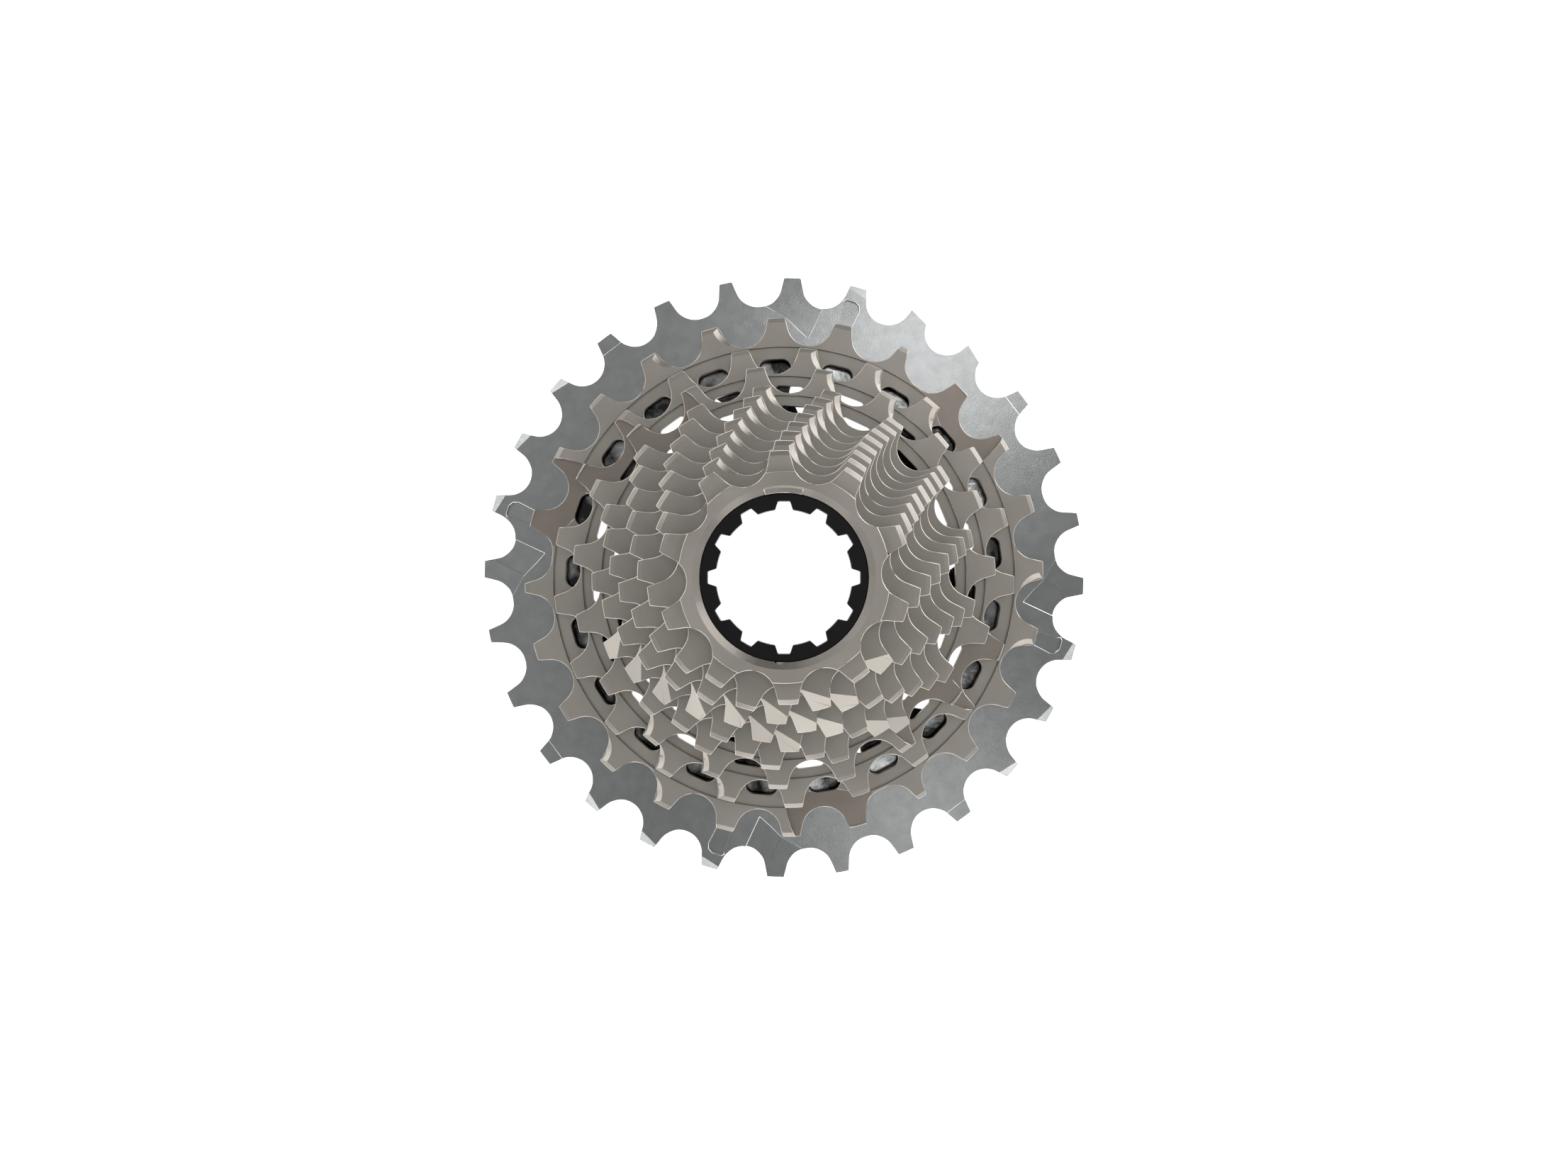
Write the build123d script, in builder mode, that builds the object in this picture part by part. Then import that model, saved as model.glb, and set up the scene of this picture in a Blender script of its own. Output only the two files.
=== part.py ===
from build123d import *
import os
from math import acos, asin, atan2, cos, hypot, pi, radians, sin

# A twelve-speed road cassette with 10 to 28 teeth and a captive lock tube, in millimetres.
# The axis is Z, the hub's back face is at z = 0 and the smallest sprocket is at the top.
# Clock angles are degrees, clockwise from +Y as seen from the small end.

os.makedirs("parts", exist_ok=True)

# ---- chain and teeth ----
CHAIN_PITCH = 12.7
SEAT_DROP = 3.9            # pitch circle down to the roller seat
VALLEY_R = 4.3             # round bottom of the gap between two teeth
TIP_WIDTH = 3.3
TIP_RISE = {28: 5.5}       # roller seat up to the tooth tip, where it isn't the usual
USUAL_TIP_RISE = 5.2
FIRST_TOOTH = {28: 1.6, 24: -1.7, 21: 6.1, 19: 11.1, 17: 35.8, 16: 35.1,
               15: 34.1, 14: 33.5, 13: 33.1, 12: 33.0, 11: 33.0, 10: 34.0}
# teeth slimmer than the rest: number, trim on the clockwise and on the other flank in degrees
SLIM_TEETH = {28: [(6 + 7 * k, 0.35, 0.35) for k in range(4)],
              24: [(2 + 8 * k, 1.5, 0.3) for k in range(3)]}

# ---- stack along the axis ----
STACK = [28, 24, 21, 19, 17, 16, 15, 14, 13, 12, 11, 10]
RINGS = STACK[1:8]         # separate steel rings
CLUSTER = STACK[8:]        # cut from one block with the front boss
SPACING = 3.6
LARGEST_MID_Z = 2.3
ALLOY_PLATE = 1.8
STEEL_PLATE = 1.6
DISH = {24: 0.5, 21: 0.5, 19: 0.5}    # how far a slotted web lies behind its teeth
BOSS_TOP = 44.2
BOSS_R = 18.1

# ---- ring joints ----
SHOULDER = 0.45            # roller seat down to the skirt behind the teeth
SPIGOT_DROP = 0.95         # roller seat down to the spigot that enters the next ring
SKIRT_DEPTH = {24: 2.45, 21: 1.8, 19: 1.88}    # roller seat down to the inside of the skirt
USUAL_SKIRT_DEPTH = 2.4
PIN_R = 0.5
PIN_GAP = 0.02
PINS_PER_RING = 6

# ---- slots in the webs: middle radius, height along the radius, width ----
SLOTS = {24: (40.3, 3.4, 6.2), 21: (35.55, 1.9, 5.6), 19: (31.45, 1.7, 6.1)}

# ---- chamfers and shift ramps on the fronts of the teeth ----
CUT_MARGIN = 0.3
TIP_CHAMFER = 0.9
TIP_CHAMFER_DEPTH = 0.65
# crescents: a cone stands in the gap, shifted towards the tooth before it
CRESCENT_WIDTH = 1.0
CRESCENT_DEPTH = 0.45
CRESCENT_SHIFT = 1.8
CRESCENT_BEARING = 70
CRESCENTS = {24: (6, 7, 14, 15, 22, 23), 21: (0, 1, 2, 11, 12), 19: (0, 1, 10, 11), 17: (15, 16),
             16: (14, 15), 15: (13, 14), 14: (12, 13), 13: (11, 12), 12: (10, 11), 11: (9, 10)}
# fins: the clockwise half of a tooth bevelled away
FIN_DROP = 2.75            # tooth tip down to the middle of the fin's lower edge
FIN_TURN = 33
FIN_SLOPE = 25
FIN_REACH = 5.0
FIN_LENGTH = 8.4
FINS = {17: (5, 10), 16: (5, 9), 15: (6, 8), 14: (5, 6, 7), 13: (5, 6), 12: (4, 5), 11: (3, 4)}
# gates: a tooth, the gap after it and half of the next tooth sunk below the plate
GATE_DEPTH = 0.65
GATE_TURN = 60
GATE_SLOPE = 1.5
GATES = {24: (3, 11, 19), 21: (6, 17), 19: (6, 16)}

# ---- largest sprocket ----
LARGEST = STACK[0]
RIM_FRONT_Z = LARGEST_MID_Z + ALLOY_PLATE / 2
RIM_BACK_Z = LARGEST_MID_Z - ALLOY_PLATE / 2
RIM_SEAT_R = 44.35         # locating shoulder for the 24-tooth ring
RIM_SEAT_Z = 2.8
RIM_BEAD_R = 41.0
ARMS = 7
ARM_CLOCK = 349.9          # clock angle of an arm's middle at ARM_CLOCK_R
ARM_CLOCK_R = 36.7
ARM_SWEEP = 1.08           # degrees of clock angle for each millimetre inwards
ARM_HALF = 10.2            # degrees
ARM_BACK_Z = 0.8
WINDOW_OUTER_R = 38.6
WINDOW_INNER_R = 25.0
WINDOW_FILLET = 2.5
RIM_PINS = 12
RIM_PIN_R = 0.6
RIM_PIN_CIRCLE = 43.3
RIM_PIN_TOP = 4.6
# ramps of each quarter, in degrees clockwise from its first tooth and radii
QUARTERS = 4
TEETH_PER_QUARTER = 7
DEEP_RAMP = [(-1.1, 50.5), (2.0, 56.7), (2.6, 60.0), (6.6, 60.0), (6.5, 52.9), (4.2, 46.8), (3.8, 46.95),
             (1.8, 48.2)]
SHALLOW_RAMP = [(-5.4, 52.8), (-0.7, 50.3), (2.4, 56.7), (3.0, 60.0), (-5.4, 60.0)]
CHANNEL = [(9.8, 46.5), (10.9, 54.2), (10.7, 55.0), (11.2, 55.3), (13.0, 55.2), (13.9, 54.6),
           (14.2, 53.6), (13.3, 49.8), (12.9, 46.5)]
DEEP_RAMP_DEPTH = 0.55
SHALLOW_RAMP_DEPTH = 0.25
CHANNEL_DEPTH = 0.4
RAMP_SLOPE = 2.0
TIP_BEVEL_R = 57.0
RIM_FALL_TURN = 18         # ramps and tip bevels of the rim fall away clockwise of the radius
TIP_BEVEL_SLOPE = 25
LOW_TIP_R = 55.6
LOW_TIP_DEPTH = 0.5

# ---- hub ----
SPLINE_MINOR_R = 16.0
SPLINE_MAJOR_R = 17.3
SPLINE_KEYS = 9
SPLINE_KEY_WIDTH = 2.4
HUB_R = 22.0
HUB_NECK_R = 21.5
HUB_FOOT_R = 24.5
HUB_SHOULDER_Z = 6.5
HUB_TOP = 9.0
WASHER_SEAT_Z = 8.0
WASHER_SEAT_R = 19.8
WASHER_THICKNESS = 0.5
WASHER_INNER_R = 17.5
WASHER_OUTER_R = 19.4

# ---- lock tube and the cluster bore that carries it ----
GUIDE_R = 16.0
GUIDE_TOP = 36.5
TUBE_R = 15.92
TUBE_SHOULDER_Z = 36.4
TUBE_FLANGE_R = 19.5
TUBE_FLANGE = (8.55, 10.5)
COLLAR_R = 14.35
COLLAR_BORE_R = 14.45
COLLAR_TOP = 43.0
BEVEL_R = 15.7
BEVEL_BOTTOM = 43.15
PAD_TOP = 43.9
PAD_CLOCKS = (-13.0, 12.5)
NOSE_R = 13.4
NOSE = (34.0, 40.0)
THREAD_R = 14.2
THREAD = (18.0, 33.2)
RELIEF_R = 15.0
LAND_R = 11.7
NOTCH_R = 13.1
NOTCHES = 12
NOTCH_FLOOR_WIDTH = 2.1
NOTCH_MOUTH_WIDTH = 3.0
NOTCH_FILLET = 0.3
GROOVE_R = 15.05
GROOVE = (33.85, 35.15)
SEAL_R = 0.42
UNDERCUT = (17.8, 20.3, 31.0)    # inner radius, outer radius and top of the cluster's hollow back


def clock_point(clock, radius):
    """The point at a clock angle and a radius."""
    return (radius * sin(radians(clock)), radius * cos(radians(clock)))


def root_radius(teeth):
    """Radius of the roller seats."""
    return CHAIN_PITCH / (2 * sin(pi / teeth)) - SEAT_DROP


def tip_radius(teeth):
    """Radius of the tooth tips."""
    return root_radius(teeth) + TIP_RISE.get(teeth, USUAL_TIP_RISE)


def step_radius(teeth):
    """Radius of the skirt and of the step inside the teeth."""
    return root_radius(teeth) - SHOULDER


def spigot_radius(teeth):
    """Radius on which a ring enters the next larger one."""
    return root_radius(teeth) - SPIGOT_DROP


def tooth_clock(teeth, number):
    """Clock angle of a tooth, counted clockwise from the first; a half lies in the gap after it."""
    return FIRST_TOOTH[teeth] + 360 / teeth * number


def front_z(teeth):
    """Front face of a steel toothed plate."""
    return LARGEST_MID_Z + SPACING * STACK.index(teeth) + STEEL_PLATE / 2


def web_top(teeth):
    """Front face of the web inside the teeth."""
    return front_z(teeth) - DISH.get(teeth, 0)


def web_bottom(teeth):
    """Back face of the web inside the teeth."""
    return web_top(teeth) - STEEL_PLATE


def pin_places(teeth):
    """Where the pins behind a ring stand, each behind a tooth."""
    clocks = [tooth_clock(teeth, round(k * teeth / PINS_PER_RING)) for k in range(PINS_PER_RING)]
    return [clock_point(clock, spigot_radius(teeth)) for clock in clocks]


def rim_pin_places():
    """Where the pins through the largest sprocket's rim stand."""
    return [clock_point(360 / RIM_PINS * k, RIM_PIN_CIRCLE) for k in range(RIM_PINS)]


def ring_face(inner, outer):
    """A plain flat ring."""
    with BuildSketch() as ring:
        Circle(outer)
        Circle(inner, mode=Mode.SUBTRACT)
    return ring.sketch


def turned_face(*points):
    """A closed outline in radius and height, for turning about the axis."""
    with BuildSketch(Plane.XZ) as outline:
        with BuildLine():
            Polyline(*points, close=True)
        make_face()
    return outline.sketch


def gap_face(teeth):
    """The gap between two teeth, opening along +X: a round seat with straight flanks."""
    tip = tip_radius(teeth)
    centre = root_radius(teeth) + VALLEY_R
    half_gap = pi / teeth - asin(TIP_WIDTH / 2 / tip)
    corner = Vector(tip * cos(half_gap), tip * sin(half_gap))
    reach = hypot(corner.X - centre, corner.Y)
    bearing = atan2(corner.Y, corner.X - centre) + acos(VALLEY_R / reach)
    touch = Vector(centre + VALLEY_R * cos(bearing), VALLEY_R * sin(bearing))
    beyond = corner * 2 - touch
    with BuildSketch() as gap:
        with BuildLine():
            upper = Line(beyond, touch)
            lower = Line((touch.X, -touch.Y), (beyond.X, -beyond.Y))
            ThreePointArc(upper @ 1, (root_radius(teeth), 0), lower @ 0)
            Line(lower @ 1, upper @ 0)
        make_face()
    return gap.sketch


def toothed_face(teeth, inner, outer):
    """A flat ring cut by the gaps between the teeth, with a few teeth trimmed slimmer."""
    gap = gap_face(teeth)
    with BuildSketch() as outline:
        add(ring_face(inner, outer))
        with PolarLocations(0, teeth, start_angle=90 - tooth_clock(teeth, 0.5)):
            add(gap, mode=Mode.SUBTRACT)
        for number, clockwise_trim, other_trim in SLIM_TEETH.get(teeth, ()):
            after = 90 - tooth_clock(teeth, number + 0.5) + clockwise_trim
            before = 90 - tooth_clock(teeth, number - 0.5) - other_trim
            add(gap, rotation=after, mode=Mode.SUBTRACT)
            add(gap, rotation=before, mode=Mode.SUBTRACT)
    return outline.sketch


def facet_plane(clock, radius, z, turn, slope):
    """A plane that falls away along its X, which is turned clockwise from the radius."""
    level, drop = cos(radians(slope)), sin(radians(slope))
    return Plane((*clock_point(clock, radius), z), x_dir=(*clock_point(clock + turn, level), -drop),
                 z_dir=(*clock_point(clock + turn, drop), level))


def cut_beyond(plane, reach, width, height):
    """Take away what stands above the falling side of a plane."""
    with BuildSketch(plane) as patch:
        Rectangle(reach, width, align=(Align.MIN, Align.CENTER))
    extrude(patch.sketch, amount=height, mode=Mode.SUBTRACT)


def cut_pocket(outline, clock, plane):
    """Sink a pocket whose floor is the plane; its corners are clock angles from a tooth and radii."""
    corners = [plane.to_local_coords(Vector(*clock_point(clock + turn, radius), plane.origin.Z))
               for turn, radius in outline]
    with BuildSketch(plane) as floor:
        Polygon(*[(corner.X, corner.Y) for corner in corners], align=None)
    extrude(floor.sketch, amount=STEEL_PLATE, mode=Mode.SUBTRACT)


def drill(places, radius, z, height):
    """Drill round holes upwards from a height."""
    with Locations(*[(*place, z) for place in places]):
        Cylinder(radius, height, align=(Align.CENTER, Align.CENTER, Align.MIN), mode=Mode.SUBTRACT)


def chamfer_tips(teeth):
    """Turn a chamfer on the front of the tooth tips."""
    tip, front = tip_radius(teeth), front_z(teeth)
    triangle = turned_face((tip - TIP_CHAMFER, front), (tip + TIP_CHAMFER, front),
                           (tip + TIP_CHAMFER, front - 2 * TIP_CHAMFER_DEPTH))
    revolve(triangle, axis=Axis.Z, mode=Mode.SUBTRACT)


def cut_crescents(teeth):
    """Chamfer the clockwise flank of the listed teeth with a conical cutter."""
    bottom_r = VALLEY_R - CRESCENT_WIDTH
    height = CRESCENT_DEPTH + CUT_MARGIN
    top_r = bottom_r + CRESCENT_WIDTH * height / CRESCENT_DEPTH
    for number in CRESCENTS.get(teeth, ()):
        clock = tooth_clock(teeth, number + 0.5)
        seat = Vector(*clock_point(clock, root_radius(teeth) + VALLEY_R))
        centre = seat + Vector(*clock_point(clock - CRESCENT_BEARING, CRESCENT_SHIFT))
        with Locations((centre.X, centre.Y, front_z(teeth) - CRESCENT_DEPTH)):
            Cone(bottom_r, top_r, height, align=(Align.CENTER, Align.CENTER, Align.MIN),
                 mode=Mode.SUBTRACT)


def cut_fins(teeth):
    """Bevel the whole clockwise half of the listed teeth, where the chain steps down."""
    for number in FINS.get(teeth, ()):
        clock = tooth_clock(teeth, number)
        plane = facet_plane(clock, tip_radius(teeth) - FIN_DROP, front_z(teeth), FIN_TURN, FIN_SLOPE)
        cut_beyond(plane, FIN_REACH, FIN_LENGTH, STEEL_PLATE)


def cut_gates(teeth):
    """Sink the gates that let the chain climb."""
    step, tip, pitch = step_radius(teeth), tip_radius(teeth) + CUT_MARGIN, 360 / teeth
    outline = [(-0.36 * pitch, step), (-0.36 * pitch, tip), (0.92 * pitch, tip), (pitch, tip - 2.0),
               (1.06 * pitch, step + 1.2), (1.08 * pitch, step), (0.68 * pitch, step - 2.8),
               (0.28 * pitch, step - 2.9), (-0.08 * pitch, step - 0.9)]
    for number in GATES.get(teeth, ()):
        clock = tooth_clock(teeth, number)
        cut_pocket(outline, clock,
                   facet_plane(clock, step, front_z(teeth) - GATE_DEPTH, GATE_TURN, GATE_SLOPE))


def cut_slots(teeth, smaller):
    """Oval slots in a web, one behind each gap of the next smaller sprocket."""
    middle, height, width = SLOTS[teeth]
    with BuildSketch(Plane.XY.offset(web_bottom(teeth))) as slots:
        with PolarLocations(middle, smaller, start_angle=90 - tooth_clock(smaller, 0.5)):
            SlotOverall(width, height, rotation=90)
    extrude(slots.sketch, amount=STEEL_PLATE, mode=Mode.SUBTRACT)


def steel_ring(teeth):
    """A steel ring: teeth, web, the skirt behind them and the spigot that enters the next ring."""
    larger, smaller = STACK[STACK.index(teeth) - 1], STACK[STACK.index(teeth) + 1]
    step, spigot, bore = step_radius(teeth), spigot_radius(teeth), spigot_radius(smaller)
    inside = root_radius(teeth) - SKIRT_DEPTH.get(teeth, USUAL_SKIRT_DEPTH)
    if larger == LARGEST:
        end = RIM_SEAT_Z
        outside = [(step, end)]
    else:
        end = web_bottom(larger)
        outside = [(step, web_top(larger)), (spigot, web_top(larger)), (spigot, end)]
    with BuildPart() as ring:
        with BuildSketch(Plane.XY.offset(front_z(teeth) - STEEL_PLATE)):
            add(toothed_face(teeth, step, tip_radius(teeth)))
        extrude(amount=STEEL_PLATE)
        revolve(turned_face((bore, web_top(teeth)), (step, web_top(teeth)), *outside, (inside, end),
                            (inside, web_bottom(teeth)), (bore, web_bottom(teeth))), axis=Axis.Z)
        chamfer_tips(teeth)
        cut_crescents(teeth)
        cut_fins(teeth)
        cut_gates(teeth)
        if teeth in SLOTS:
            cut_slots(teeth, smaller)
        drill(pin_places(smaller), PIN_R + PIN_GAP, web_bottom(teeth), STEEL_PLATE)
        if larger == LARGEST:
            drill(rim_pin_places(), RIM_PIN_R + PIN_GAP, end, RIM_PIN_TOP - end)
        else:
            drill(pin_places(teeth), PIN_R + PIN_GAP, end, STEEL_PLATE)
    return ring


def window_face():
    """One window between two swept spider arms."""
    def edge(radius, share):
        gap = 360 / ARMS - 2 * ARM_HALF
        sweep = (ARM_CLOCK_R - radius) * ARM_SWEEP
        return clock_point(ARM_CLOCK + sweep + ARM_HALF + gap * share, radius)

    middle_r = (WINDOW_OUTER_R + WINDOW_INNER_R) / 2
    with BuildSketch() as window:
        with BuildLine():
            ThreePointArc(edge(WINDOW_OUTER_R, 0), edge(WINDOW_OUTER_R, 0.5), edge(WINDOW_OUTER_R, 1))
            ThreePointArc(edge(WINDOW_OUTER_R, 1), edge(middle_r, 1), edge(WINDOW_INNER_R, 1))
            ThreePointArc(edge(WINDOW_INNER_R, 1), edge(WINDOW_INNER_R, 0.5), edge(WINDOW_INNER_R, 0))
            ThreePointArc(edge(WINDOW_INNER_R, 0), edge(middle_r, 0), edge(WINDOW_OUTER_R, 0))
        make_face()
        fillet(window.vertices(), WINDOW_FILLET)
    return window.sketch


# ---- the four smallest sprockets and the front boss, cut from one block ----
with BuildPart() as cluster_10t_13t:
    for teeth in CLUSTER:
        with BuildSketch(Plane.XY.offset(front_z(teeth) - STEEL_PLATE)):
            add(toothed_face(teeth, step_radius(teeth), tip_radius(teeth)))
        extrude(amount=STEEL_PLATE)
    with BuildSketch(Plane.XY.offset(front_z(10))):
        add(toothed_face(10, step_radius(10), BOSS_R))
    extrude(amount=BOSS_TOP - front_z(10))
    hollow_inner, hollow_outer, hollow_top = UNDERCUT
    back, seat = web_bottom(14), web_top(14)
    revolve(turned_face(
        (BEVEL_R, BOSS_TOP), (step_radius(10), BOSS_TOP), (step_radius(10), front_z(11)),
        (step_radius(11), front_z(11)), (step_radius(11), front_z(12)),
        (step_radius(12), front_z(12)), (step_radius(12), front_z(13)),
        (step_radius(13), front_z(13)), (step_radius(13), seat), (spigot_radius(13), seat),
        (spigot_radius(13), back), (hollow_outer, back), (hollow_outer, hollow_top),
        (hollow_inner, hollow_top), (hollow_inner, back), (GUIDE_R, back), (GUIDE_R, GUIDE_TOP),
        (COLLAR_BORE_R, GUIDE_TOP), (COLLAR_BORE_R, BEVEL_BOTTOM)), axis=Axis.Z)
    with BuildSketch(Plane.XY.offset(COLLAR_TOP)):
        add(ring_face(COLLAR_BORE_R, BEVEL_R))
        Polygon((0, 0), *[clock_point(clock, 2 * BEVEL_R) for clock in PAD_CLOCKS],
                align=None, mode=Mode.INTERSECT)
    extrude(amount=PAD_TOP - COLLAR_TOP)
    for teeth in CLUSTER:
        chamfer_tips(teeth)
        cut_crescents(teeth)
        cut_fins(teeth)
    drill(pin_places(13), PIN_R + PIN_GAP, back, STEEL_PLATE)
cluster_10t_13t.part.label = "cluster_10t_13t"
export_step(cluster_10t_13t.part, "parts/cluster_10t_13t.step")

# ---- the separate steel rings ----
for teeth in RINGS:
    ring = steel_ring(teeth)
    ring.part.label = f"sprocket_{teeth}t"
    export_step(ring.part, f"parts/sprocket_{teeth}t.step")

# ---- largest sprocket: toothed rim, swept spider arms and splined hub in one alloy forging ----
with BuildPart() as sprocket_28t:
    revolve(turned_face(
        (SPLINE_MINOR_R, 0), (HUB_R, 0), (HUB_FOOT_R, ARM_BACK_Z), (HUB_FOOT_R, RIM_SEAT_Z),
        (HUB_NECK_R, HUB_SHOULDER_Z), (HUB_NECK_R, HUB_TOP), (WASHER_SEAT_R, HUB_TOP),
        (WASHER_SEAT_R, WASHER_SEAT_Z), (SPLINE_MINOR_R, WASHER_SEAT_Z)), axis=Axis.Z)
    with BuildSketch(Plane.XY.offset(ARM_BACK_Z)):
        add(ring_face(HUB_R, RIM_BEAD_R))
        with PolarLocations(0, ARMS):
            add(window_face(), mode=Mode.SUBTRACT)
    extrude(amount=RIM_SEAT_Z - ARM_BACK_Z)
    with BuildSketch(Plane.XY.offset(RIM_BACK_Z)):
        add(ring_face(RIM_BEAD_R, RIM_SEAT_R))
    extrude(amount=RIM_SEAT_Z - RIM_BACK_Z)
    with BuildSketch(Plane.XY.offset(RIM_BACK_Z)):
        add(toothed_face(LARGEST, RIM_SEAT_R, tip_radius(LARGEST)))
    extrude(amount=ALLOY_PLATE)
    with BuildSketch():
        with PolarLocations(SPLINE_MINOR_R - 1, SPLINE_KEYS, start_angle=90):
            Rectangle(SPLINE_MAJOR_R - SPLINE_MINOR_R + 1, SPLINE_KEY_WIDTH,
                      align=(Align.MIN, Align.CENTER))
    extrude(amount=WASHER_SEAT_Z, mode=Mode.SUBTRACT)
    for quarter in range(QUARTERS):
        first = quarter * TEETH_PER_QUARTER
        clock = tooth_clock(LARGEST, first)
        for outline, depth in ((DEEP_RAMP, DEEP_RAMP_DEPTH), (SHALLOW_RAMP, SHALLOW_RAMP_DEPTH),
                               (CHANNEL, CHANNEL_DEPTH)):
            corner_turn, corner_r = outline[0]
            cut_pocket(outline, clock, facet_plane(clock + corner_turn, corner_r, RIM_FRONT_Z - depth,
                                                   RIM_FALL_TURN, RAMP_SLOPE))
        for number in (1, 2, 3):
            cut_beyond(facet_plane(tooth_clock(LARGEST, first + number), TIP_BEVEL_R, RIM_FRONT_Z,
                                   RIM_FALL_TURN, TIP_BEVEL_SLOPE), TIP_WIDTH, 2 * TIP_WIDTH, ALLOY_PLATE)
        cut_beyond(facet_plane(tooth_clock(LARGEST, first + 4), LOW_TIP_R,
                               RIM_FRONT_Z - LOW_TIP_DEPTH, 0, 0), TIP_WIDTH, 2 * TIP_WIDTH, ALLOY_PLATE)
    drill(rim_pin_places(), RIM_PIN_R + PIN_GAP, 0, RIM_PIN_TOP)
sprocket_28t.part.label = "sprocket_28t"
export_step(sprocket_28t.part, "parts/sprocket_28t.step")

# ---- dowel pins between neighbouring rings ----
for larger, smaller in zip(STACK[1:8], STACK[2:9]):
    with BuildPart() as pins:
        with Locations(*[(*place, web_bottom(larger)) for place in pin_places(smaller)]):
            Cylinder(PIN_R, STEEL_PLATE, align=(Align.CENTER, Align.CENTER, Align.MIN))
    pins.part.label = f"pins_{smaller}t_{larger}t"
    export_step(pins.part, f"parts/pins_{smaller}t_{larger}t.step")

with BuildPart() as pins_24t_28t:
    with Locations(*[(*place, RIM_BACK_Z) for place in rim_pin_places()]):
        Cylinder(RIM_PIN_R, RIM_PIN_TOP - RIM_BACK_Z, align=(Align.CENTER, Align.CENTER, Align.MIN))
pins_24t_28t.part.label = "pins_24t_28t"
export_step(pins_24t_28t.part, "parts/pins_24t_28t.step")

# ---- captive lock tube: flange at the back, thread inside, notched collar at the front ----
with BuildPart() as lock_tube:
    nose_back, nose_front = NOSE
    thread_back, thread_front = THREAD
    flange_back, flange_front = TUBE_FLANGE
    groove_back, groove_front = GROOVE
    revolve(turned_face(
        (RELIEF_R, flange_back), (TUBE_FLANGE_R, flange_back), (TUBE_FLANGE_R, flange_front),
        (TUBE_R, flange_front), (TUBE_R, groove_back), (GROOVE_R, groove_back),
        (GROOVE_R, groove_front), (TUBE_R, groove_front), (TUBE_R, TUBE_SHOULDER_Z),
        (COLLAR_R, TUBE_SHOULDER_Z), (COLLAR_R, COLLAR_TOP), (LAND_R, COLLAR_TOP),
        (LAND_R, nose_front), (NOSE_R, nose_front), (NOSE_R, nose_back), (THREAD_R, thread_front),
        (THREAD_R, thread_back), (RELIEF_R, thread_back - 1)), axis=Axis.Z)
    notch_root = 2 * LAND_R - NOTCH_R
    notch_width = 2 * NOTCH_MOUTH_WIDTH - NOTCH_FLOOR_WIDTH
    with BuildSketch(Plane.XY.offset(nose_front)) as opening:
        Circle(LAND_R)
        with PolarLocations(0, NOTCHES, start_angle=90):
            Polygon((NOTCH_R, NOTCH_FLOOR_WIDTH / 2), (NOTCH_R, -NOTCH_FLOOR_WIDTH / 2),
                    (notch_root, -notch_width / 2), (notch_root, notch_width / 2), align=None)
        fillet(opening.vertices(), NOTCH_FILLET)
    extrude(amount=COLLAR_TOP - nose_front, mode=Mode.SUBTRACT)
lock_tube.part.label = "lock_tube"
export_step(lock_tube.part, "parts/lock_tube.step")

# ---- washer between the lock tube's flange and the hub ----
with BuildPart() as thrust_washer:
    with BuildSketch(Plane.XY.offset(WASHER_SEAT_Z)):
        add(ring_face(WASHER_INNER_R, WASHER_OUTER_R))
    extrude(amount=WASHER_THICKNESS)
thrust_washer.part.label = "thrust_washer"
export_step(thrust_washer.part, "parts/thrust_washer.step")

# ---- rubber ring in the lock tube's groove ----
with BuildPart() as seal_ring:
    with BuildSketch(Plane.XZ):
        with Locations((GROOVE_R + SEAL_R, sum(GROOVE) / 2)):
            Circle(SEAL_R)
    revolve(axis=Axis.Z)
seal_ring.part.label = "seal_ring"
export_step(seal_ring.part, "parts/seal_ring.step")
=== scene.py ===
from itertools import permutations
from math import atan2, cos, pi, radians, sin

import bmesh
import bpy
from mathutils import Matrix, Vector
from mathutils.geometry import intersect_point_line


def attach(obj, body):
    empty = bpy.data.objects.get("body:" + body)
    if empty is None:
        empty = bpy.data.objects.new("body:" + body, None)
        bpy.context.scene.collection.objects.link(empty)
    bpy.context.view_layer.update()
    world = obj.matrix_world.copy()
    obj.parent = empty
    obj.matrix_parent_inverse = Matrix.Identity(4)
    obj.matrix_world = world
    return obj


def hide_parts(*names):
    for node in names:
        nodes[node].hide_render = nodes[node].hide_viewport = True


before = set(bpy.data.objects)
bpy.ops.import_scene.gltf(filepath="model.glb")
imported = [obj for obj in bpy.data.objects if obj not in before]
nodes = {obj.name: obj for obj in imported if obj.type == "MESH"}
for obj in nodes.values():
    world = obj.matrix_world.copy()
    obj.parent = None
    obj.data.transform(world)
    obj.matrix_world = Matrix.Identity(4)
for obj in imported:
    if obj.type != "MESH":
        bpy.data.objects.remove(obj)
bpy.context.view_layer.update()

scene = bpy.context.scene


# ---- camera ----
# The view runs straight down the cassette's axis from the small end, with +Y up.
# The camera stands close enough for the stack of rings to open out in perspective.

# metres, apart from the lens and its sensor, which are in millimetres
VIEW_HEIGHT = 0.336
VIEW_LENS = 39.34
VIEW_SENSOR = 36.0
VIEW_SHIFT = -0.00665
NEAREST_SEEN = 0.01
camera_data = bpy.data.cameras.new("camera")
camera_data.lens = VIEW_LENS
camera_data.sensor_width = VIEW_SENSOR
camera_data.shift_y = VIEW_SHIFT
camera_data.clip_start = NEAREST_SEEN
camera = bpy.data.objects.new("camera", camera_data)
camera.location = (0.0, 0.0, VIEW_HEIGHT)
scene.collection.objects.link(camera)
scene.camera = camera
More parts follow.
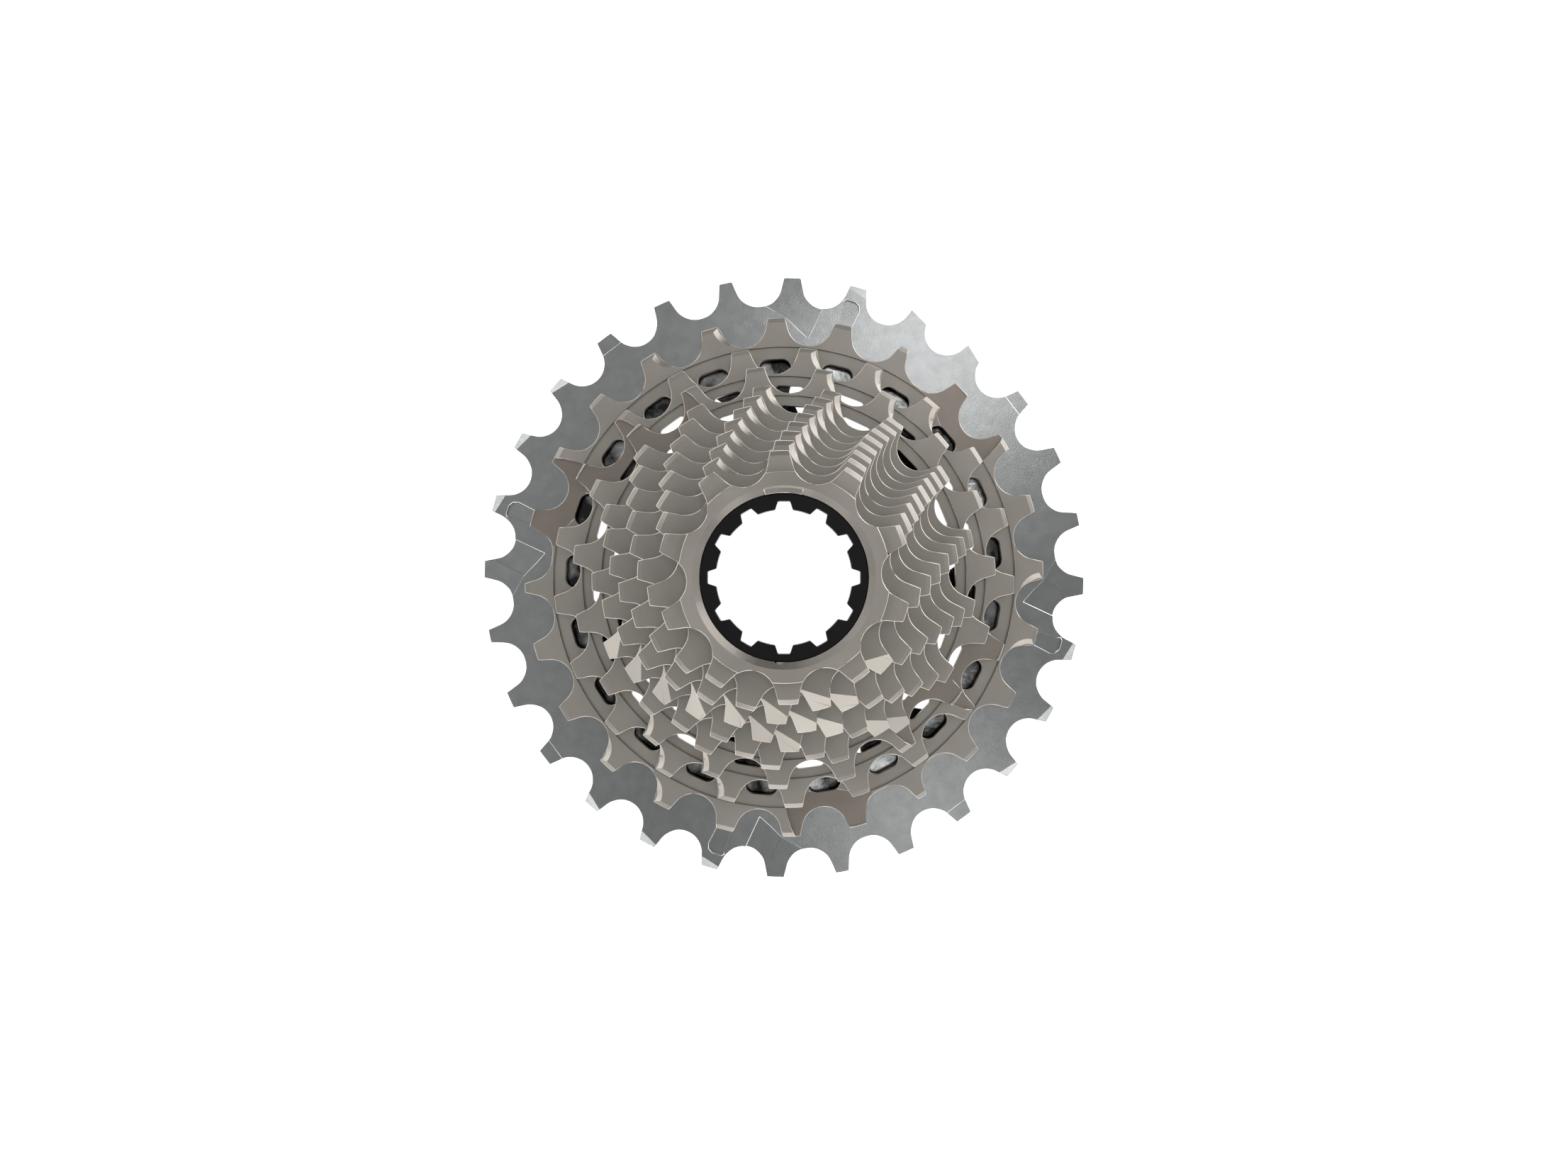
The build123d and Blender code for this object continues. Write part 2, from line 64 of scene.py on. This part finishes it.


# ---- steel sprockets ----
# Seven rings and the small cluster, turned and milled from steel and plated a warm satin nickel tone.
# Tumbling before the plating breaks every edge; the narrow rounded band it leaves is painted lighter than
# the plating, a painted highlight.
# The faces of the gates that lift the chain get a darker steel, a little smoother than the rest.

# which edges are broken, and by how much
EDGE_BREAK = 0.0001
BREAK_SEGMENTS = 2
BROKEN_FROM = radians(45)
SHORTEST_BROKEN = 0.00008
ROOM_USED = 0.45
SMOOTH_TURN = radians(40)
EVENING_PASSES = 12
# which corners are one, which faces are one flat face, and which edges look sharp
SAME_PLACE = 0.000002
FLAT_WITHIN = radians(0.8)
SHARP_FROM = radians(25)
NEARLY_LEVEL = cos(radians(8))
# the material slots, and the faces that get the darker gate steel and the turned finish
BASE_SLOT, EDGE_SLOT, GATE_SLOT, TURNED_SLOT = range(4)
GATE_TILTS = (radians(1.0), radians(2.0))
BORE_BEVEL_R = 0.0158
BORE_BEVEL_TILTS = (radians(30), radians(70))
BOSS_FROM_Z = 0.0435
# the plating is partly diffuse, and turning leaves rings that stretch its highlights
PLATING_METALLIC = 0.8
TURNED_STRETCH = 0.7
TURNED_STRETCH_ROTATION = 0.25
CLOUD_DETAIL = 5.0
LIGHT_FROM = 0.7
GRAIN_DETAIL = 3.0
GRAIN_STRENGTH = 0.25
# node: how many cuts through the axis keep its flat faces simple, and the clock angle of the first
# one, which passes through the middle of a slot where the web has slots
STEEL_CUTS = {
    "cluster_10t_13t": (13, 5.0),
    "sprocket_14t": (14, 5.0),
    "sprocket_15t": (15, 5.0),
    "sprocket_16t": (16, 5.0),
    "sprocket_17t": (17, 5.0),
    "sprocket_19t": (17, 46.39),
    "sprocket_21t": (19, 20.57),
    "sprocket_24t": (21, 14.67),
}


def room_beside_edges(work):
    """For each edge, the distance to the nearest corner or edge of its faces that it doesn't touch."""
    room = {edge: 1.0 for edge in work.edges}
    for face in work.faces:
        for loop in face.loops:
            corner = loop.vert
            for edge in face.edges:
                if corner not in edge.verts:
                    start, end = (vert.co for vert in edge.verts)
                    share = intersect_point_line(corner.co, start, end)[1]
                    gap = (start.lerp(end, min(1.0, max(0.0, share))) - corner.co).length
                    for close in (loop.edge, loop.link_loop_prev.edge, edge):
                        room[close] = min(room[close], gap)
    return room


def even_out(work, weight):
    """Lower the weights until edges that run on smoothly from one another are rounded alike."""
    for vert in [*work.verts] * EVENING_PASSES:
        rounded = [edge for edge in vert.link_edges if edge[weight] > 0]
        for edge, other in permutations(rounded, 2):
            onward = edge.other_vert(vert).co - vert.co
            turn = onward.angle(vert.co - other.other_vert(vert).co)
            if turn < SMOOTH_TURN:
                shorter = min(edge.calc_length(), other.calc_length())
                step = ROOM_USED * shorter * sin(turn) / EDGE_BREAK
                edge[weight] = min(edge[weight], other[weight] + step)


def finished_copy(name, cuts, first_cut, materials):
    """A copy of a CAD node with flat faces joined and sharp edges rounded, in the given materials."""
    work = bmesh.new()
    work.from_mesh(nodes[name].data)
    bmesh.ops.remove_doubles(work, verts=work.verts, dist=SAME_PLACE)
    for number in range(cuts):
        clock = radians(first_cut + 180 / cuts * number)
        cut = bmesh.ops.bisect_plane(work, geom=[*work.verts, *work.edges, *work.faces],
                                     dist=SAME_PLACE, plane_co=(0, 0, 0),
                                     plane_no=(cos(clock), -sin(clock), 0))
        for item in cut["geom_cut"]:
            if isinstance(item, bmesh.types.BMEdge):
                item.seam = True
    bmesh.ops.dissolve_limit(work, angle_limit=FLAT_WITHIN, use_dissolve_boundaries=False,
                             verts=work.verts, edges=work.edges, delimit={"SEAM"})
    weight = work.edges.layers.float.new("bevel_weight_edge")
    room = room_beside_edges(work)
    for edge in work.edges:
        angle = edge.calc_face_angle()
        meets_level = any(face.normal.z > NEARLY_LEVEL for face in edge.link_faces)
        edge.smooth = angle < (FLAT_WITHIN if meets_level else SHARP_FROM)
        if angle > BROKEN_FROM and edge.is_convex and edge.calc_length() > SHORTEST_BROKEN:
            edge[weight] = min(1.0, ROOM_USED * room[edge] / EDGE_BREAK)
    even_out(work, weight)
    for face in work.faces:
        face.smooth = True
        face.material_index = BASE_SLOT
    mesh = bpy.data.meshes.new(name + "_finished")
    work.to_mesh(mesh)
    work.free()
    for material in materials:
        mesh.materials.append(material)
    piece = bpy.data.objects.new(name + "_finished", mesh)
    scene.collection.objects.link(piece)
    bevel = piece.modifiers.new("edge_break", "BEVEL")
    bevel.limit_method = "WEIGHT"
    bevel.width = EDGE_BREAK
    bevel.segments = BREAK_SEGMENTS
    # the rounded bands take the edge slot, which on the steel and the alloy holds a lighter material, a
    # painted highlight
    bevel.material = EDGE_SLOT
    bevel.use_clamp_overlap = False
    even = piece.modifiers.new("even_faces", "WEIGHTED_NORMAL")
    even.keep_sharp = True
    return piece


def plain(name, color, roughness):
    """A material of one colour."""
    material = bpy.data.materials.new(name)
    material.use_nodes = True
    shader = material.node_tree.nodes["Principled BSDF"]
    shader.inputs["Base Color"].default_value = (*color, 1)
    shader.inputs["Roughness"].default_value = roughness
    return material


def add_grain(material, scale, detail, strength, depth):
    """Give a material a fine bump, from noise that is fixed to the piece."""
    tree = material.node_tree
    place = tree.nodes.new("ShaderNodeTexCoord")
    grain = tree.nodes.new("ShaderNodeTexNoise")
    grain.inputs["Scale"].default_value = scale
    grain.inputs["Detail"].default_value = detail
    tree.links.new(place.outputs["Object"], grain.inputs["Vector"])
    bump = tree.nodes.new("ShaderNodeBump")
    bump.inputs["Strength"].default_value = strength
    bump.inputs["Distance"].default_value = depth
    tree.links.new(grain.outputs["Fac"], bump.inputs["Height"])
    tree.links.new(bump.outputs["Normal"], tree.nodes["Principled BSDF"].inputs["Normal"])


def metal(name, dark, light, roughness, cloud_scale, grain_scale, grain_depth,
          metallic=1.0, dark_to=0.3):
    """A metal whose tone drifts between two colours, with a fine grain on its surface."""
    material = plain(name, light, roughness)
    tree = material.node_tree
    shader = tree.nodes["Principled BSDF"]
    shader.inputs["Metallic"].default_value = metallic
    place = tree.nodes.new("ShaderNodeTexCoord")
    cloud = tree.nodes.new("ShaderNodeTexNoise")
    cloud.inputs["Scale"].default_value = cloud_scale
    cloud.inputs["Detail"].default_value = CLOUD_DETAIL
    tree.links.new(place.outputs["Object"], cloud.inputs["Vector"])
    tone = tree.nodes.new("ShaderNodeValToRGB")
    tone.color_ramp.elements[0].position = dark_to
    tone.color_ramp.elements[0].color = (*dark, 1)
    tone.color_ramp.elements[1].position = LIGHT_FROM
    tone.color_ramp.elements[1].color = (*light, 1)
    tree.links.new(cloud.outputs["Fac"], tone.inputs["Fac"])
    tree.links.new(tone.outputs["Color"], shader.inputs["Base Color"])
    add_grain(material, grain_scale, GRAIN_DETAIL, GRAIN_STRENGTH, grain_depth)
    return material


satin_steel = metal("satin_steel", dark=(0.240, 0.223, 0.200), light=(0.278, 0.258, 0.232),
                    roughness=0.32, cloud_scale=90, grain_scale=5200, grain_depth=0.00001,
                    metallic=PLATING_METALLIC)
# rounded edge bands of the steel: the lighter colour is a painted highlight
steel_edge_painted_highlight = metal("steel_edge_painted_highlight", dark=(0.41, 0.38, 0.342), light=(0.49, 0.456, 0.41),
                   roughness=0.32, cloud_scale=300, grain_scale=5200, grain_depth=0.000004)
gate_steel = metal("gate_steel", dark=(0.235, 0.206, 0.180), light=(0.28, 0.246, 0.216),
                      roughness=0.28, cloud_scale=120, grain_scale=5200, grain_depth=0.000004)
turned_steel = metal("turned_steel", dark=(0.205, 0.189, 0.170), light=(0.237, 0.219, 0.197),
                     roughness=0.40, cloud_scale=90, grain_scale=5200, grain_depth=0.00001,
                     metallic=PLATING_METALLIC)
shader = turned_steel.node_tree.nodes["Principled BSDF"]
shader.inputs["Anisotropic"].default_value = TURNED_STRETCH
shader.inputs["Anisotropic Rotation"].default_value = TURNED_STRETCH_ROTATION
around = turned_steel.node_tree.nodes.new("ShaderNodeTangent")
around.direction_type = "RADIAL"
around.axis = "Z"
turned_steel.node_tree.links.new(around.outputs["Tangent"], shader.inputs["Tangent"])

for name, (cuts, first_cut) in STEEL_CUTS.items():
    piece = finished_copy(name, cuts, first_cut, (satin_steel, steel_edge_painted_highlight, gate_steel, turned_steel))
    for face in piece.data.polygons:
        tilt = face.normal.angle((0, 0, 1))
        on_bore_bevel = (face.center.xy.length < BORE_BEVEL_R
                         and BORE_BEVEL_TILTS[0] < tilt < BORE_BEVEL_TILTS[1])
        if GATE_TILTS[0] < tilt < GATE_TILTS[1]:
            face.material_index = GATE_SLOT
        elif on_bore_bevel or face.center.z > BOSS_FROM_Z:
            face.material_index = TURNED_SLOT
    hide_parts(name)
    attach(piece, "cassette")


# ---- largest sprocket ----
# The 28-tooth sprocket, its swept arms and its splined hub are one aluminium forging, bead blasted and
# clear anodised, which looks cooler than the steel. The fronts of the arms inside the dome are painted
# near black, a painted shade where the rings above keep the light off, mottled with painted glints.
PAINTED_SHADE_WITHIN_R = 0.0444
FACES_FRONT = 0.3
PAINTED_SHADE_SLOT = 2
ALLOY_CUTS = (28, 5.0)

blasted_alloy = metal("blasted_alloy", dark=(0.335, 0.345, 0.345), light=(0.385, 0.396, 0.396),
                      roughness=0.2, cloud_scale=420, grain_scale=4200, grain_depth=0.00003)
# rounded edge bands of the alloy: the lighter colour is a painted highlight
alloy_edge_painted_highlight = metal("alloy_edge_painted_highlight", dark=(0.58, 0.61, 0.62), light=(0.66, 0.69, 0.70),
                   roughness=0.30, cloud_scale=300, grain_scale=5200, grain_depth=0.000004)
# painted shade, near black, mottled with painted glints; only the low roughness belongs to the milled
# alloy
arm_painted_shade_and_glints = metal("arm_painted_shade_and_glints", dark=(0.03, 0.032, 0.03), light=(0.55, 0.56, 0.55),
                       roughness=0.14, cloud_scale=170, grain_scale=260, grain_depth=0.0004, dark_to=0.46)
largest = finished_copy("sprocket_28t", *ALLOY_CUTS, (blasted_alloy, alloy_edge_painted_highlight, arm_painted_shade_and_glints))
# faces that face forward inside the dome get the painted shade and glints
for face in largest.data.polygons:
    outermost = max(largest.data.vertices[corner].co.xy.length for corner in face.vertices)
    if outermost < PAINTED_SHADE_WITHIN_R and face.normal.z > FACES_FRONT:
        face.material_index = PAINTED_SHADE_SLOT
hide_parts("sprocket_28t")
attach(largest, "cassette")


# ---- lock tube ----
# A tube turned from aluminium and anodised black, with twelve milled notches at the front.
# Its inside has a fine right-hand thread for the hub, cut outwards from the bore.
TUBE_CUTS = (12, 15.0)
BLACK_SPECULAR = 0.18
THREAD_CREST_R = 0.0142
THREAD_FROM = 0.018
THREAD_TO = 0.0332
THREAD_PITCH = 0.001
THREAD_DEPTH = 0.00055
# the groove's flanks are this much steeper than an even zigzag, and the crest between them is left flat
THREAD_STEEPNESS = 1.3
THREAD_CREST_SHARE = 0.15
THREAD_ROWS_PER_PITCH = 8
THREAD_COLUMNS = 96
ON_BORE_WITHIN = 0.00002


def on_plain_bore(vert):
    """Whether a corner lies on the plain bore that the thread takes the place of."""
    return (abs(vert.co.xy.length - THREAD_CREST_R) < ON_BORE_WITHIN
            and THREAD_FROM - ON_BORE_WITHIN < vert.co.z < THREAD_TO + ON_BORE_WITHIN)


def groove_depth(turn, height):
    """How far outside the crest the thread's surface lies; it runs out over one pitch at each end."""
    to_ends = min(height - THREAD_FROM, THREAD_TO - height) / THREAD_PITCH
    zigzag = 1 - abs(2 * ((height / THREAD_PITCH - turn) % 1) - 1)
    profile = min(1, max(0, THREAD_STEEPNESS * zigzag - THREAD_CREST_SHARE))
    return THREAD_DEPTH * max(0, min(1, to_ends)) * profile


tube_black = plain("black_anodised", color=(0.002, 0.002, 0.0022), roughness=0.3)
shader = tube_black.node_tree.nodes["Principled BSDF"]
shader.inputs["Specular IOR Level"].default_value = BLACK_SPECULAR
add_grain(tube_black, scale=4200, detail=2.0, strength=0.2, depth=0.00001)
tube = finished_copy("lock_tube", *TUBE_CUTS, (tube_black, tube_black))
work = bmesh.new()
work.from_mesh(tube.data)
bore = [face for face in work.faces if all(on_plain_bore(vert) for vert in face.verts)]
bmesh.ops.delete(work, geom=bore, context="FACES")
work.to_mesh(tube.data)
work.free()

work = bmesh.new()
rows = round((THREAD_TO - THREAD_FROM) / THREAD_PITCH * THREAD_ROWS_PER_PITCH)
line = [work.verts.new((THREAD_CREST_R, 0, THREAD_FROM + row * THREAD_PITCH / THREAD_ROWS_PER_PITCH))
        for row in range(rows + 1)]
steps = [work.edges.new(pair) for pair in zip(line, line[1:])]
bmesh.ops.spin(work, geom=[*line, *steps], cent=(0, 0, 0), axis=(0, 0, 1), dvec=(0, 0, 0),
               angle=2 * pi, steps=THREAD_COLUMNS, use_merge=True, use_normal_flip=False)
for vert in work.verts:
    turn = atan2(vert.co.y, vert.co.x) / (2 * pi)
    vert.co.xy *= 1 + groove_depth(turn, vert.co.z) / THREAD_CREST_R
thread_mesh = bpy.data.meshes.new("lock_tube_thread")
work.to_mesh(thread_mesh)
work.free()
thread_mesh.shade_smooth()
thread_mesh.set_sharp_from_angle(angle=SHARP_FROM)
thread_mesh.materials.append(tube_black)
thread = bpy.data.objects.new("lock_tube_thread", thread_mesh)
scene.collection.objects.link(thread)
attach(thread, "lock_tube")
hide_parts("lock_tube")
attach(tube, "lock_tube")


# ---- pins, washer and seal ----
# The pins that lock each ring to the next are ground steel rod, and the washer behind the lock tube's
# flange is ground steel too. The seal in the tube's groove is a moulded rubber ring.
ground_steel = metal("ground_steel", dark=(0.40, 0.40, 0.41), light=(0.48, 0.48, 0.49),
                     roughness=0.24, cloud_scale=260, grain_scale=2600, grain_depth=0.000004)
seal_rubber = plain("seal_rubber", color=(0.012, 0.012, 0.012), roughness=0.7)
add_grain(seal_rubber, scale=1800, detail=2.0, strength=0.3, depth=0.00002)
for name, node in nodes.items():
    if name.startswith("pins_") or name == "thrust_washer":
        node.material_slots[0].material = ground_steel
nodes["seal_ring"].material_slots[0].material = seal_rubber


# ---- studio ----
# A plain white table, 0.1 mm under the hub's back face so that the two don't lie in one plane.
# The light comes from soft square panels: high ones for the flat faces, a ring of them for the sloped
# facets, and low ones for the chamfers.

FLOOR_Z = -0.0001
FLOOR_REACH = 6.0
FLOOR_GLOW = 1.0
WORLD_GLOW = 0.12
PANEL_DISTANCE = 0.8
CEILING_DISTANCE = 1.0
RING_CLOCKS = range(57, 360, 45)
# name: clock angle and height angle in degrees, size, brightness
HIGH_PANELS = {
    "upper_left": (290, 68, 0.50, 0.15),
    "upper_right": (32, 77, 0.14, 2.3),
    "lower_right": (150, 77, 0.13, 1.0),
}
RING_PANELS = {f"ring_{clock}": (clock, 44, 0.45, 3.1) for clock in RING_CLOCKS}
LOW_PANELS = {
    "right_low": (50, 16, 0.60, 2.9),
    "near_right_low": (144, 14, 0.26, 1.9),
    "near_low": (183, 14, 0.32, 2.6),
    "near_left_low": (218, 14, 0.26, 1.9),
    "far_left_low": (304, 14, 0.26, 1.8),
}

floor_mesh = bpy.data.meshes.new("floor")
work = bmesh.new()
bmesh.ops.create_grid(work, x_segments=1, y_segments=1, size=FLOOR_REACH,
                      matrix=Matrix.Translation((0, 0, FLOOR_Z)))
work.to_mesh(floor_mesh)
work.free()
floor = bpy.data.objects.new("floor", floor_mesh)
scene.collection.objects.link(floor)
white = plain("white_table", color=(0.9, 0.9, 0.9), roughness=0.9)
shader = white.node_tree.nodes["Principled BSDF"]
shader.inputs["Emission Color"].default_value = (1, 1, 1, 1)
shader.inputs["Emission Strength"].default_value = FLOOR_GLOW
floor_mesh.materials.append(white)


def panel(name, clock, height, size, brightness, distance=PANEL_DISTANCE):
    """A soft square light that faces the object, at a clock angle and a height angle in degrees."""
    data = bpy.data.lights.new(name, "AREA")
    data.shape = "SQUARE"
    data.size = size
    data.energy = brightness * pi * size ** 2
    level = cos(radians(height))
    towards = Vector((sin(radians(clock)) * level, cos(radians(clock)) * level, sin(radians(height))))
    light = bpy.data.objects.new(name, data)
    light.location = towards * distance
    light.rotation_euler = towards.to_track_quat("Z", "Y").to_euler()
    scene.collection.objects.link(light)


panel("ceiling", 0, 90, 1.3, 0.155, CEILING_DISTANCE)
for name, values in {**HIGH_PANELS, **RING_PANELS, **LOW_PANELS}.items():
    panel(name, *values)

world = bpy.data.worlds.new("studio")
scene.world = world
world.use_nodes = True
world.node_tree.nodes["Background"].inputs["Color"].default_value = (1.0, 1.0, 1.0, 1)
world.node_tree.nodes["Background"].inputs["Strength"].default_value = WORLD_GLOW
scene.view_settings.view_transform = "Standard"
